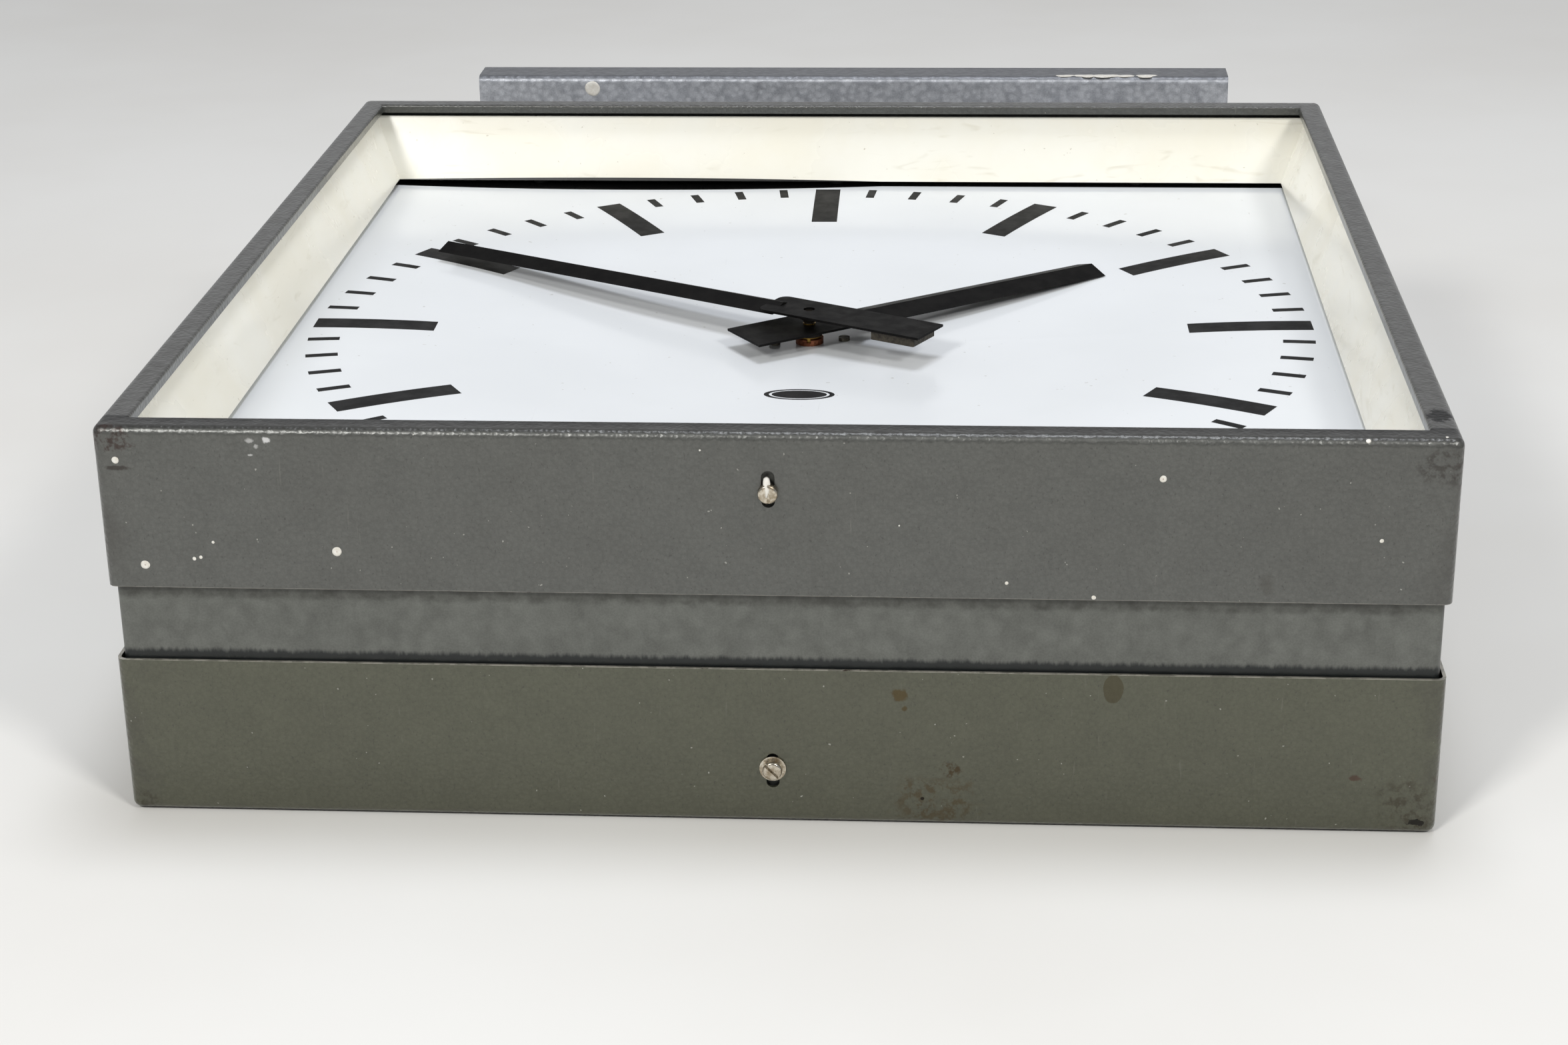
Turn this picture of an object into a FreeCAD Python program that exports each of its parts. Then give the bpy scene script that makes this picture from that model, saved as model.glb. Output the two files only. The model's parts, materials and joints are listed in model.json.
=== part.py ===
import FreeCAD, Part
import os
from math import acos, cos, pi, radians, sin, tan

# A square, double-sided slave clock that hangs from a ceiling bracket, lying on its rear face.
# +Z leaves the front dial, +Y points from six to twelve o'clock (towards the bracket), +X to the
# right. Pieces are drawn about the middle of the square case and moved to the row frame on export,
# whose origin is the bottom centre of the whole object. Millimetres.

V = FreeCAD.Vector

# ---- case and covers --------------------------------------------------------------------------
SIDE = 480.0                 # outer side of the square covers
DEPTH = 152.0                # rear face to front face
SHEET = 1.2                  # steel sheet of covers and case
COVER_DEPTH = 61.5
COVER_CORNER = 3.5           # radius of a cover's upright corners
COVER_BEND = 3.0             # radius where a cover's side turns into its face flange
FLANGE = 11.0                # face flange, measured inwards from the side
LIP = 4.0                    # turned-down edge of the face flange
CASE_INSET = 2.2             # cover side to case side
CASE_END_GAP = 0.4           # case rim to the underside of a seated cover's flange
CASE_CORNER = 3.0

# ---- cover screw ------------------------------------------------------------------------------
SCREW_DEPTH = 22.0           # screw axis behind the face
SCREW_R = 2.0
SCREW_HEAD_R = 3.6
SCREW_HEAD = 2.8
SCREW_HEAD_ROUND = 1.0
SCREW_SLOT_DEPTH = 1.2
FRONT_SCREW_TURN, REAR_SCREW_TURN = 80, 45     # degrees of the slots from level
SCREW_SLOT = 1.0
SCREW_PAST_NUT = 2.0
WASHER_R = 4.85
WASHER = 0.8
SEAT_GAP = 0.05
COVER_SLOT_R = 2.4
COVER_SLOT_OUT = 5.6         # free slot length from the screw towards the face
COVER_SLOT_IN = 3.4          # and towards the other cover: the cover's travel
CLINCH_NUT_R = 4.2
CLINCH_NUT = 4.0

# ---- shroud, dial and dial frame ----------------------------------------------------------------
SHROUD_SHEET = 1.0
SHROUD_TOP_DEPTH = 6.5
SHROUD_FOOT_DEPTH = 36.6
SHROUD_TOP_HALF = 233.0
SHROUD_FOOT_HALF = 221.0
SHROUD_FOOT_FLANGE = 12.5
DIAL_SHEET = 1.0
DIAL_HALF = 235.5
DIAL_RIM_DEPTH = 39.0
DIAL_DISH = 8.2              # the middle of the dial lies this much deeper than its rim
DISH_R = 214.0
DISH_INNER_R = DISH_R * 2 / 3
DIAL_HOLE_R = 5.2
FRAME_LEG = 20.0
FRAME_SHEET = 1.5
FIXING_PLACES = (-150.0, 0.0, 150.0)
FIXING_OFFSET = 228.6
FIXING_R = 1.5
FIXING_HEAD_R = 2.75
FIXING_HEAD = 2.0
FIXING_HOLE_R = 1.75
SPACER_R = 3.5
FIXING_SLOT = 0.8

# ---- hands ----------------------------------------------------------------------------------------
HOUR_ANGLE = -54.9           # clock hands turn clockwise, so angles from twelve are negative
MINUTE_ANGLE = -298.8
HAND_SHEET = 1.0
GABLE_SHEET = 0.9
GABLE_RISE = 3.1
GABLE_FOOT, GABLE_FALL = 1.6, 1.1      # the folded sheet, across and upright, in sheet thicknesses
HOUR_PLATE_TOP = 8.6         # heights above the middle of the dial
HOUR_EDGE = 6.5
MINUTE_PLATE_TOP = 15.0
MINUTE_EDGE = 12.9
HOUR_REACH, HOUR_TAIL, HOUR_TIP_W, HOUR_ARM_W, HOUR_PLATE_W = 151.0, 33.0, 21.0, 23.0, 26.6
MINUTE_REACH, MINUTE_TAIL, MINUTE_TIP_W, MINUTE_ARM_W, MINUTE_PLATE_W = 198.0, 60.0, 15.4, 18.2, 21.4
HOUR_SHOULDER = 22.0
MINUTE_SHOULDER = 20.0
SHOULDER_OVERLAP = 7.0
WEIGHT_FROM, WEIGHT_TO, WEIGHT_W, WEIGHT = 36.0, 57.0, 18.0, 4.0
HUB_HOLE_R = 2.5
SHOULDER_ROUND = 4.0
WEIGHT_ROUND = 0.8

# ---- centre stack, heights above the middle of the dial -------------------------------------------
ARBOR_R = 2.0
PIPE_R = 2.7
BUSH_R = 5.0
RUNNING = 0.05
NUT_R, NUT_FOOT, NUT = 6.0, 0.05, 3.0
NUT_SLOT, NUT_CHAMFER = 1.6, 0.4
HOUR_COLLET_R = 5.4
HOUR_COLLET_FOOT = 3.6
COLLET_GROOVE = (5.2, 6.2, 1.2)      # from, to and depth
MINUTE_COLLET_R = 4.0
MINUTE_COLLET_FOOT = 9.5
MINUTE_COLLET_STEP = (1.4, 1.3)      # height and how much smaller
PIPE_FOOT, PIPE_TOP = -5.1, 9.0
ARBOR_TOP = 13.4
BUSH_TOP = 3.4

# ---- movement -------------------------------------------------------------------------------------
PLATE = 1.5
PLATE_X, PLATE_TOP_Y, PLATE_LOW_Y = 30.0, 26.0, -60.0
PLATE_FRONT = -DIAL_SHEET - 0.1
PLATE_BACK = -18.5
PILLAR_R = 2.5
PILLAR_INSET = 4.5
PLATE_ROUND = 3.0
END_SHAKE = 0.3
PRESSURE = radians(20)
WHEEL_ADD, PINION_ADD, WHEEL_DED, PINION_DED = 0.45, 0.85, 1.15, 0.80
BACKLASH = 0.16              # arc on the pitch circle, in modules
TRAIN_MODULE, FAST_MODULE = 0.6, 0.5
CANNON_TEETH, MOTION_TEETH = 12, 36
MOTION_PINION_TEETH, HOUR_TEETH = 10, 40
MINUTE_TEETH, MID_PINION_TEETH = 48, 8
MID_TEETH, ROTOR_PINION_TEETH = 40, 8
MOTION_CENTRE = TRAIN_MODULE * (CANNON_TEETH + MOTION_TEETH) / 2
HOUR_MODULE = 2 * MOTION_CENTRE / (MOTION_PINION_TEETH + HOUR_TEETH)
MID_CENTRE = TRAIN_MODULE * (MINUTE_TEETH + MID_PINION_TEETH) / 2
ROTOR_CENTRE = FAST_MODULE * (MID_TEETH + ROTOR_PINION_TEETH) / 2
MOTION_DIRECTION = 150.0     # degrees, from the centre arbor
# heights of the gears' lower and upper faces
MINUTE_WHEEL_Z, CANNON_Z = (-10.6, -9.2), (-9.2, -5.6)
MOTION_WHEEL_Z, MOTION_PINION_Z = (-7.6, -6.2), (-6.2, -3.0)
HOUR_WHEEL_Z = (-4.9, -3.5)
MID_PINION_Z, MID_WHEEL_Z = (-11.0, -8.8), (-14.0, -12.6)
ROTOR_PINION_Z, MAGNET_FOOT = (-14.3, -12.3), -12.0
STUD_FOOT = -8.8
PIVOT_R = 0.6
CENTRE_PIVOT_R = 1.2
MOTION_STUD_R = 1.1
SMALL_ARBOR_R = 1.1
ROTOR_R, ROTOR = 7.0, 4.6
POLE_GAP = 0.8
COIL_X, COIL_Y, COIL_Z = 26.0, 13.0, 11.0
CORE_Y, CORE_Z = 6.0, 3.0
CORE_FOOT, CORE_BELOW_ROTOR = -11.2, 18.0
YOKE_WALL, YOKE_PAST_ROTOR, POLE_SPLIT = 6.0, 3.5, 10.0
CHEEK, COIL_STEP, COIL_ROUND, COIL_PLAY = 1.5, 2.0, 1.5, 0.5
DIAL_SCREW_AT = (14.8, 3.0)
DIAL_SCREW_R, DIAL_SCREW_HEAD_R, DIAL_SCREW_HEAD = 1.25, 2.4, 1.5
DIAL_SCREW_SEAT, DIAL_SCREW_SLOT = 0.15, 0.7

# ---- ceiling bracket ------------------------------------------------------------------------------
BRACKET_GAP = 140.0          # top of the covers to the bracket's web
BRACKET_W = 413.0
BRACKET_INSET = 21.0         # bracket edge behind each face of the clock
BRACKET_FLANGE = 22.0
BRACKET_SHEET = 1.5
BRACKET_BEND = 3.5
LEG_X = 120.0
LEG_SIDE = 22.0
LEG_WALL = 1.5
FOOT_X, FOOT_Z, FOOT = 72.0, 26.0, 4.0
HEAD_Z = 48.0
BOLT_OFFSET = 26.0
BOLT_R = 3.0
BOLT_HEAD_R, BOLT_HEAD, BOLT_NUT = 5.6, 4.0, 5.0
STIFFENER_X, STIFFENER = 330.0, 3.0
CEILING_X, CEILING_Z, CEILING_HOLE_R = 330.0, 64.0, 4.5
WIRE_HOLE_R = 8.0
GROMMET_R, GROMMET_BORE_R, GROMMET_FLANGE = 10.5, 4.5, 1.5
TERMINAL_X, TERMINAL_Y, TERMINAL_Z = 34.0, 12.0, 18.0
TERMINAL_HOLE_R, TERMINAL_HOLE, TERMINAL_PITCH, TERMINAL_ROW = 2.2, 4.0, 10.0, 5.0
PAST = 1.0                   # how far a cutter runs past what it cuts

HALF = SIDE / 2
MID = DEPTH / 2
CASE_HALF = HALF - CASE_INSET
CASE_IN = CASE_HALF - SHEET
DIAL_Z = DEPTH - DIAL_RIM_DEPTH - DIAL_DISH      # front surface of the front dial at its middle
FACE_Y = -HALF                                   # the side that carries the cover screws
WEB_Y = HALF + BRACKET_GAP
BRACKET_RIM_Y = WEB_Y + BRACKET_FLANGE
BRACKET_HALF_Z = MID - BRACKET_INSET
REACH_Y = FACE_Y - SEAT_GAP - WASHER - SCREW_HEAD
TO_ROW_Y = -(BRACKET_RIM_Y + REACH_Y) / 2


def block(x0, x1, y0, y1, z0, z1):
    return Part.makeBox(x1 - x0, y1 - y0, z1 - z0, V(x0, y0, z0))


def square(half, z0, z1):
    return block(-half, half, -half, half, z0, z1)


def rod(radius, z0, z1, x=0.0, y=0.0):
    return Part.makeCylinder(radius, z1 - z0, V(x, y, z0))


def rod_y(radius, y0, y1, x, z):
    return Part.makeCylinder(radius, y1 - y0, V(x, y0, z), V(0, 1, 0))


def hexagon(radius, y0, y1, x, z):
    corners = [V(x + radius * cos(k * pi / 3), y0, z + radius * sin(k * pi / 3)) for k in range(7)]
    return Part.Face(Part.makePolygon(corners)).extrude(V(0, y1 - y0, 0))


def extrude_xy(points, z0, z1):
    corners = [V(x, y, z0) for x, y in points]
    return Part.Face(Part.makePolygon(corners + corners[:1])).extrude(V(0, 0, z1 - z0))


def rounded(shape, radius, wanted):
    return shape.makeFillet(radius, [e for e in shape.Edges if wanted(e.CenterOfMass, e)])


def is_upright(edge):
    box = edge.BoundBox
    return box.ZLength > 1 and box.XLength + box.YLength < 0.01


def joined(shapes):
    return shapes[0].multiFuse(shapes[1:]).removeSplitter() if len(shapes) > 1 else shapes[0]


# ---- sheet metal of one side, drawn for the front -------------------------------------------------
def rounded_square(half, z0, z1, corner, bend):
    body = rounded(square(half, z0, z1), corner, lambda c, e: is_upright(e))
    return rounded(body, bend, lambda c, e: abs(c.z - z1) < 0.01)


def cover():
    back = DEPTH - COVER_DEPTH
    shell = rounded_square(HALF, back, DEPTH, COVER_CORNER, COVER_BEND)
    inside = rounded_square(HALF - SHEET, back - PAST, DEPTH - SHEET, COVER_CORNER - SHEET,
                            COVER_BEND - SHEET)
    opening = HALF - FLANGE
    lip = square(opening + SHEET, DEPTH - LIP, DEPTH - SHEET / 2)
    shell = joined([shell.cut(inside), lip]).cut(square(opening, back, DEPTH + PAST))
    inner_edge = opening + PAST
    shell = rounded(shell, SHEET, lambda c, e: c.z > DEPTH - 0.01 and max(abs(c.x), abs(c.y)) < inner_edge)
    slot_z = DEPTH - SCREW_DEPTH
    for z in (slot_z - COVER_SLOT_IN, slot_z + COVER_SLOT_OUT):
        shell = shell.cut(rod_y(COVER_SLOT_R, FACE_Y - PAST, FACE_Y + SHEET + PAST, 0, z))
    return shell.cut(block(-COVER_SLOT_R, COVER_SLOT_R, FACE_Y - PAST, FACE_Y + SHEET + PAST,
                           slot_z - COVER_SLOT_IN, slot_z + COVER_SLOT_OUT))


def square_wire(half, z):
    return Part.makePolygon([V(-half, -half, z), V(half, -half, z), V(half, half, z), V(-half, half, z),
                             V(-half, -half, z)])


def fixing_points():
    for along in FIXING_PLACES:
        for side in (-FIXING_OFFSET, FIXING_OFFSET):
            yield along, side
            yield side, along


def drilled(shape, radius, z0, z1):
    for x, y in fixing_points():
        shape = shape.cut(rod(radius, z0, z1, x, y))
    return shape


def shroud():
    top, foot = DEPTH - SHROUD_TOP_DEPTH, DEPTH - SHROUD_FOOT_DEPTH
    outer = Part.makeLoft([square_wire(SHROUD_FOOT_HALF + SHROUD_SHEET, foot),
                           square_wire(SHROUD_TOP_HALF + SHROUD_SHEET, top)], True, True)
    inner = Part.makeLoft([square_wire(SHROUD_FOOT_HALF, foot), square_wire(SHROUD_TOP_HALF, top)],
                          True, True)
    flange = square(SHROUD_FOOT_HALF + SHROUD_FOOT_FLANGE, foot, foot + SHROUD_SHEET)
    body = joined([outer, flange]).cut(inner)
    return drilled(body, FIXING_HOLE_R, foot - PAST, foot + SHROUD_SHEET + PAST)


def dial():
    # The dish is two tangent arcs: hollow in the middle, turning back to a flat rim at DISH_R.
    rim_z = DEPTH - DIAL_RIM_DEPTH
    slope = 2 * (DIAL_DISH / DISH_R)
    low, high = DISH_INNER_R / sin(slope), (DISH_R - DISH_INNER_R) / sin(slope)

    def dish_z(r):
        if r < DISH_INNER_R:
            return rim_z - DIAL_DISH + low * (1 - cos(r / low))
        return rim_z - high * (1 - cos((DISH_R - r) / high))

    def profile(drop):
        points = [V(r, 0, dish_z(r) - drop) for r in
                  (DIAL_HOLE_R, DISH_INNER_R / 2, DISH_INNER_R, (DISH_INNER_R + DISH_R) / 2, DISH_R)]
        return [Part.Arc(*points[:3]).toShape(), Part.Arc(*points[2:]).toShape()]

    top, under = profile(0), profile(DIAL_SHEET)
    ends = [Part.makeLine(a[i].Vertexes[j].Point, b[i].Vertexes[j].Point)
            for a, b, i, j in ((top, under, 0, 0), (top, under, 1, 1))]
    dish = Part.Face(Part.Wire(Part.__sortEdges__(top + under + ends))).revolve(V(0, 0, 0), V(0, 0, 1), 360)
    rim = square(DIAL_HALF, rim_z - DIAL_SHEET, rim_z).cut(rod(DISH_R, rim_z - 2, rim_z + PAST))
    plate = drilled(joined([rim, dish]), FIXING_HOLE_R, rim_z - 2, rim_z + PAST)
    for side in (-1, 1):
        x, y = side * DIAL_SCREW_AT[0], side * DIAL_SCREW_AT[1]
        plate = plate.cut(rod(DIAL_SCREW_R, DIAL_Z - DIAL_SHEET - PAST, DIAL_Z + PAST, x, y))
    return plate


def dial_frame():
    top = DEPTH - DIAL_RIM_DEPTH - DIAL_SHEET
    ring = rounded(square(CASE_IN, top - FRAME_LEG, top), CASE_CORNER - SHEET, lambda c, e: is_upright(e))
    ring = ring.cut(square(CASE_IN - FRAME_SHEET, top - FRAME_LEG - PAST, top - FRAME_SHEET))
    ring = ring.cut(square(CASE_IN - FRAME_LEG, top - FRAME_LEG, top + PAST))
    return drilled(ring, FIXING_R, top - FRAME_SHEET - PAST, top + PAST)


def spacers():
    foot, rim = DEPTH - SHROUD_FOOT_DEPTH, DEPTH - DIAL_RIM_DEPTH
    return Part.makeCompound([rod(SPACER_R, rim, foot, x, y).cut(rod(FIXING_HOLE_R, rim, foot, x, y))
                              for x, y in fixing_points()])


def fixing_screws():
    seat = DEPTH - SHROUD_FOOT_DEPTH + SHROUD_SHEET
    end = DEPTH - DIAL_RIM_DEPTH - DIAL_SHEET - FRAME_SHEET - 1
    screws = []
    for x, y in fixing_points():
        screw = rod(FIXING_R, end, seat, x, y).fuse(rod(FIXING_HEAD_R, seat, seat + FIXING_HEAD, x, y))
        slot = block(x - FIXING_HEAD_R, x + FIXING_HEAD_R, y - FIXING_SLOT / 2, y + FIXING_SLOT / 2,
                     seat + FIXING_HEAD / 2, seat + FIXING_HEAD + PAST)
        screws.append(screw.cut(slot))
    return Part.makeCompound(screws)


# ---- cover screw --------------------------------------------------------------------------------------
def cover_screw(washer, turn):
    z = DEPTH - SCREW_DEPTH
    seat = FACE_Y - SEAT_GAP - washer
    head = rod_y(SCREW_HEAD_R, seat - SCREW_HEAD, seat, 0, z)
    head = head.makeFillet(SCREW_HEAD_ROUND, [e for e in head.Edges if e.Closed
                                              and e.CenterOfMass.y < seat - SCREW_HEAD + 0.01])
    shank = rod_y(SCREW_R, seat, -CASE_IN + CLINCH_NUT + SCREW_PAST_NUT, 0, z)
    slot = block(-SCREW_HEAD_R - PAST, SCREW_HEAD_R + PAST, seat - SCREW_HEAD - PAST,
                 seat - SCREW_HEAD + SCREW_SLOT_DEPTH, z - SCREW_SLOT / 2, z + SCREW_SLOT / 2)
    slot.rotate(V(0, 0, z), V(0, 1, 0), turn)
    return joined([head, shank]).cut(slot)


def cover_washer():
    z = DEPTH - SCREW_DEPTH
    seat = FACE_Y - SEAT_GAP
    return rod_y(WASHER_R, seat - WASHER, seat, 0, z).cut(rod_y(SCREW_R, seat - WASHER, seat, 0, z))


def clinch_nut():
    z = DEPTH - SCREW_DEPTH
    nut = hexagon(CLINCH_NUT_R, -CASE_IN, -CASE_IN + CLINCH_NUT, 0, z)
    return nut.cut(rod_y(SCREW_R, -CASE_IN - PAST, -CASE_IN + CLINCH_NUT + PAST, 0, z))


# ---- gears ---------------------------------------------------------------------------------------------
def gear(teeth, module, addendum, dedendum, heights, centre, first):
    # Involute teeth; one tooth is centred on the direction `first`, in radians.
    pitch_r = module * teeth / 2
    base_r = pitch_r * cos(PRESSURE)
    tip_r, root_r = pitch_r + addendum * module, pitch_r - dedendum * module
    half = pi / (2 * teeth) - BACKLASH * module / (2 * pitch_r) + tan(PRESSURE) - PRESSURE
    start = max(base_r, root_r)
    flank = []
    for step in range(4):
        r = start + (tip_r - start) * step / 3
        angle = acos(min(1.0, base_r / r))
        flank.append((r, half - (tan(angle) - angle)))
    if root_r < base_r:
        flank.insert(0, (root_r, flank[0][1]))
    outline = []
    for k in range(teeth):
        middle = first + 2 * pi * k / teeth
        side = [(r, middle - a) for r, a in flank] + [(r, middle + a) for r, a in reversed(flank)]
        outline += [(centre[0] + r * cos(a), centre[1] + r * sin(a)) for r, a in side]
    return extrude_xy(outline, up(heights[0]), up(heights[1]))


def meshed(direction, teeth):
    # Direction of a tooth when a gap faces back along `direction`.
    return direction + pi + pi / teeth


MOTION_WAY = radians(MOTION_DIRECTION)
MOTION_AT = (MOTION_CENTRE * cos(MOTION_WAY), MOTION_CENTRE * sin(MOTION_WAY))
DOWN = -pi / 2
MID_AT = (0.0, -MID_CENTRE)
ROTOR_AT = (0.0, -MID_CENTRE - ROTOR_CENTRE)
PLATE_IN_FRONT = PLATE_FRONT - PLATE
PLATE_IN_BACK = PLATE_BACK + PLATE


def up(height):
    return DIAL_Z + height


def pivoted(radius, centre):
    # A plain arbor between the two movement plates, with a thin pivot in each.
    return [rod(radius, up(PLATE_IN_BACK + END_SHAKE), up(PLATE_IN_FRONT - END_SHAKE), *centre),
            rod(PIVOT_R, up(PLATE_BACK), up(PLATE_FRONT), *centre)]


def minute_arbor():
    shaft = rod(ARBOR_R, up(PLATE_IN_BACK + END_SHAKE), up(ARBOR_TOP))
    pivot = rod(CENTRE_PIVOT_R, up(PLATE_BACK), up(PLATE_IN_BACK + END_SHAKE))
    wheel = gear(MINUTE_TEETH, TRAIN_MODULE, WHEEL_ADD, WHEEL_DED, MINUTE_WHEEL_Z, (0, 0), DOWN)
    cannon = gear(CANNON_TEETH, TRAIN_MODULE, PINION_ADD, PINION_DED, CANNON_Z, (0, 0), MOTION_WAY)
    return joined([shaft, pivot, wheel, cannon])


def motion_wheel():
    wheel = gear(MOTION_TEETH, TRAIN_MODULE, WHEEL_ADD, WHEEL_DED, MOTION_WHEEL_Z, MOTION_AT,
                 meshed(MOTION_WAY, MOTION_TEETH))
    pinion = gear(MOTION_PINION_TEETH, HOUR_MODULE, PINION_ADD, PINION_DED, MOTION_PINION_Z, MOTION_AT,
                  meshed(MOTION_WAY, MOTION_PINION_TEETH))
    return joined([wheel, pinion]).cut(rod(MOTION_STUD_R + RUNNING, up(STUD_FOOT), up(0), *MOTION_AT))


def hour_wheel():
    wheel = gear(HOUR_TEETH, HOUR_MODULE, WHEEL_ADD, WHEEL_DED, HOUR_WHEEL_Z, (0, 0), MOTION_WAY)
    pipe = rod(PIPE_R, up(PIPE_FOOT), up(PIPE_TOP))
    return joined([wheel, pipe]).cut(rod(ARBOR_R + RUNNING, up(PIPE_FOOT - PAST), up(PIPE_TOP + PAST)))


def mid_wheel():
    pinion = gear(MID_PINION_TEETH, TRAIN_MODULE, PINION_ADD, PINION_DED, MID_PINION_Z, MID_AT,
                  meshed(DOWN, MID_PINION_TEETH))
    wheel = gear(MID_TEETH, FAST_MODULE, WHEEL_ADD, WHEEL_DED, MID_WHEEL_Z, MID_AT, DOWN)
    return joined([pinion, wheel] + pivoted(SMALL_ARBOR_R, MID_AT))


def rotor():
    pinion = gear(ROTOR_PINION_TEETH, FAST_MODULE, PINION_ADD, PINION_DED, ROTOR_PINION_Z, ROTOR_AT,
                  meshed(DOWN, ROTOR_PINION_TEETH))
    magnet = rod(ROTOR_R, up(MAGNET_FOOT), up(MAGNET_FOOT + ROTOR), *ROTOR_AT)
    return joined([pinion, magnet] + pivoted(SMALL_ARBOR_R, ROTOR_AT))


# ---- movement frame -------------------------------------------------------------------------------
PILLARS = [(x, y) for x in (-PLATE_X + PILLAR_INSET, PLATE_X - PILLAR_INSET)
           for y in (PLATE_LOW_Y + PILLAR_INSET, PLATE_TOP_Y - PILLAR_INSET)]


def plate(z0, z1, hole_r):
    body = block(-PLATE_X, PLATE_X, PLATE_LOW_Y, PLATE_TOP_Y, z0, z1)
    body = rounded(body, PLATE_ROUND, lambda c, e: is_upright(e))
    for centre in (MID_AT, ROTOR_AT):
        body = body.cut(rod(PIVOT_R + RUNNING, z0 - PAST, z1 + PAST, *centre))
    return body.cut(rod(hole_r, z0 - PAST, z1 + PAST))


def front_plate():
    body = plate(up(PLATE_IN_FRONT), up(PLATE_FRONT), PIPE_R + RUNNING)
    bush = rod(BUSH_R, up(PLATE_IN_FRONT), up(BUSH_TOP))
    bush = bush.cut(rod(PIPE_R + RUNNING, up(PLATE_IN_FRONT - PAST), up(BUSH_TOP + PAST)))
    stud = rod(MOTION_STUD_R, up(STUD_FOOT), up(PLATE_IN_FRONT), *MOTION_AT)
    body = joined([body, bush, stud])
    for side in (-1, 1):
        x, y = side * DIAL_SCREW_AT[0], side * DIAL_SCREW_AT[1]
        body = body.cut(rod(DIAL_SCREW_R, up(PLATE_IN_FRONT - PAST), up(0), x, y))
    return body


def back_plate():
    return plate(up(PLATE_BACK), up(PLATE_IN_BACK), CENTRE_PIVOT_R + RUNNING)


def pillars():
    return Part.makeCompound([rod(PILLAR_R, up(PLATE_IN_BACK), up(PLATE_IN_FRONT), x, y)
                              for x, y in PILLARS])


def stator():
    z0, z1 = up(CORE_FOOT), up(CORE_FOOT + CORE_Z)
    below, above = z0 - PAST, z1 + PAST
    x, far = COIL_X / 2 + YOKE_WALL, ROTOR_AT[1] + ROTOR_R + YOKE_PAST_ROTOR
    core_y, open_x = ROTOR_AT[1] - CORE_BELOW_ROTOR, COIL_X / 2 + COIL_PLAY
    yoke = block(-x, x, core_y - CORE_Y / 2, far, z0, z1)
    yoke = yoke.cut(rod(ROTOR_R + POLE_GAP, below, above, *ROTOR_AT))
    window = block(-open_x, open_x, core_y - CORE_Y, core_y + COIL_Y / 2 + COIL_PLAY, below, above)
    split = block(-POLE_SPLIT / 2, POLE_SPLIT / 2, core_y - CORE_Y, far + PAST, below, above)
    core = block(-x, x, core_y - CORE_Y / 2, core_y + CORE_Y / 2, z0, z1)
    return joined([yoke.cut(window).cut(split), core])


def coil():
    core_y, z = ROTOR_AT[1] - CORE_BELOW_ROTOR, up(CORE_FOOT + CORE_Z / 2)

    def around(length, width, height):
        body = block(-length / 2, length / 2, core_y - width / 2, core_y + width / 2,
                     z - height / 2, z + height / 2)
        return rounded(body, COIL_ROUND, lambda c, e: e.BoundBox.XLength > length - 0.01)

    winding = around(COIL_X, COIL_Y - COIL_STEP, COIL_Z - COIL_STEP)
    ends = []
    for side in (-1, 1):
        end = around(CHEEK, COIL_Y, COIL_Z)
        end.translate(V(side * (COIL_X - CHEEK) / 2, 0, 0))
        ends.append(end)
    hole = block(-COIL_X, COIL_X, core_y - CORE_Y / 2, core_y + CORE_Y / 2, z - CORE_Z / 2, z + CORE_Z / 2)
    return joined([winding] + ends).cut(hole)


def fixing_nut():
    nut = rod(NUT_R, up(NUT_FOOT), up(NUT))
    nut = nut.makeChamfer(NUT_CHAMFER, [e for e in nut.Edges
                                        if e.Closed and e.CenterOfMass.z > up(NUT) - 0.01])
    for turn in (0, 90):
        slot = block(-NUT_R - PAST, NUT_R + PAST, -NUT_SLOT / 2, NUT_SLOT / 2, up(NUT / 2), up(NUT + PAST))
        slot.rotate(V(0, 0, 0), V(0, 0, 1), turn)
        nut = nut.cut(slot)
    return nut.cut(rod(BUSH_R, up(-PAST), up(NUT + PAST)))


def dial_screws():
    screws = []
    for side in (-1, 1):
        x, y = side * DIAL_SCREW_AT[0], side * DIAL_SCREW_AT[1]
        top = DIAL_SCREW_SEAT + DIAL_SCREW_HEAD
        screw = rod(DIAL_SCREW_R, up(PLATE_IN_FRONT), up(DIAL_SCREW_SEAT), x, y)
        screw = screw.fuse(rod(DIAL_SCREW_HEAD_R, up(DIAL_SCREW_SEAT), up(top), x, y))
        slot = block(x - DIAL_SCREW_HEAD_R - PAST, x + DIAL_SCREW_HEAD_R + PAST, y - DIAL_SCREW_SLOT / 2,
                     y + DIAL_SCREW_SLOT / 2, up(top - DIAL_SCREW_HEAD / 2), up(top + PAST))
        screws.append(screw.cut(slot))
    return Part.makeCompound(screws)


# ---- hands, drawn pointing to twelve and turned about the centre -----------------------------------
def gable(y, half, edge):
    # Closed section of a roof-shaped arm: thin sheet folded along its middle.
    foot, fall = GABLE_SHEET * GABLE_FOOT, GABLE_SHEET * GABLE_FALL
    corners = [(-half, edge), (0, edge + GABLE_RISE), (half, edge), (half - foot, edge),
               (0, edge + GABLE_RISE - fall), (-half + foot, edge), (-half, edge)]
    return Part.makePolygon([V(x, y, up(z)) for x, z in corners])


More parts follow.
